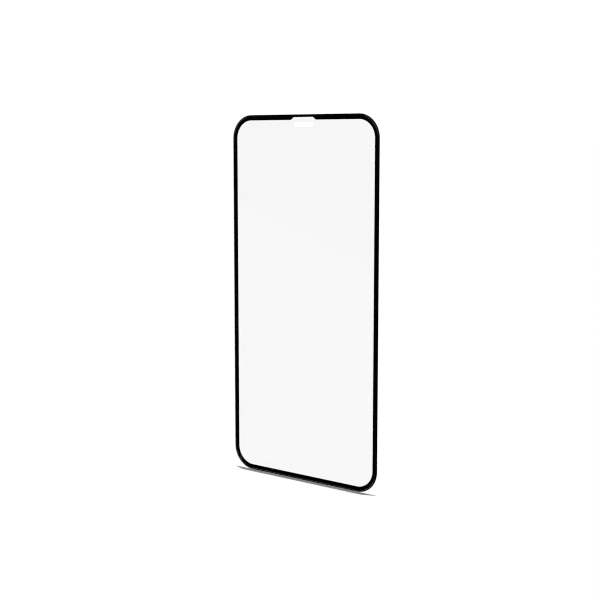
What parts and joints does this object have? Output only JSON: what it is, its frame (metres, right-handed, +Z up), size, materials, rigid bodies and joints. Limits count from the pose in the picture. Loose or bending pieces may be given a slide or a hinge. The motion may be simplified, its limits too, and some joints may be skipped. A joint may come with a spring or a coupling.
{
  "type": "smartphone screen protector",
  "caption": "Full-cover tempered glass screen protector: clear sheet with a narrow black border, rounded corners, an earpiece slot and a peel-off backing film.",
  "frame": {"origin": "centre of the adhesive face, the face that is bonded to the phone's display", "axes": "+Z up along the height with the earpiece slot at the top, +X along the width, +Y out of the back towards the phone, so the touched face looks along -Y"},
  "size_m": [0.068, 0.0006, 0.1406],
  "materials": {
    "tempered_glass": "polished, with an anti-smudge coat on the touched side",
    "border_ink": "opaque screen-printed ink, glossy where it is seen through the glass",
    "acrylic_adhesive": "optically clear",
    "clear_polyester": "clear film",
    "silicone_adhesive": "clear, soft and tacky",
    "liner_polyester": "clear film with a faint haze"
  },
  "bodies": {
    "protector": {"cover_glass": "tempered_glass", "border_print": "border_ink", "optical_adhesive": "acrylic_adhesive", "shatter_film": "clear_polyester", "mounting_adhesive": "silicone_adhesive"},
    "liner": {"release_liner": "liner_polyester"}
  },
  "joints": [
    {"name": "liner_release", "type": "slide", "parent": "protector", "child": "liner", "axis": [0, 1, 0], "range_m": [0, 0.03]}
  ]
}
